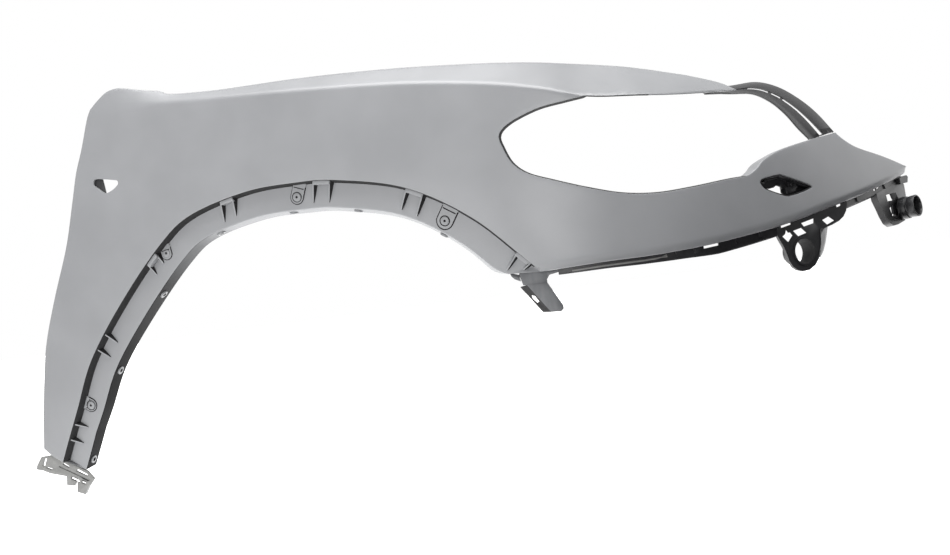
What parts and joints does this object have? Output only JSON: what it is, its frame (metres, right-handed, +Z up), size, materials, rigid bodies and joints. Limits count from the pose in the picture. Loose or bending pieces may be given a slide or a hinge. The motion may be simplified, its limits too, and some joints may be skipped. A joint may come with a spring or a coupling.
{
  "type": "front fender",
  "caption": "Right front fender of a tall car, a moulded panel with a wheel arch band, a lamp opening and the black carrier and clips that come with it.",
  "frame": {"origin": "on the flat underside of the middle bolt pad of the hood ledge, beside its hole", "axes": "+X to the front of the car, +Y inboard, away from the painted side, +Z up"},
  "size_m": [1.4507, 0.5091, 0.6535],
  "materials": {
    "primed_plastic": "grey satin primer on moulded plastic",
    "black_plastic": "black moulded plastic, satin",
    "grey_steel": "dark grey coated sheet steel",
    "pale_plastic": "light grey moulded plastic"
  },
  "bodies": {
    "root": {"outer_panel": "primed_plastic", "bumper_rail": "black_plastic", "locating_socket": "black_plastic", "lamp_strut": "black_plastic", "washer_guide": "black_plastic", "indicator_clip": "black_plastic", "arch_bracket": "grey_steel", "sill_clip": "pale_plastic"}
  },
  "joints": []
}
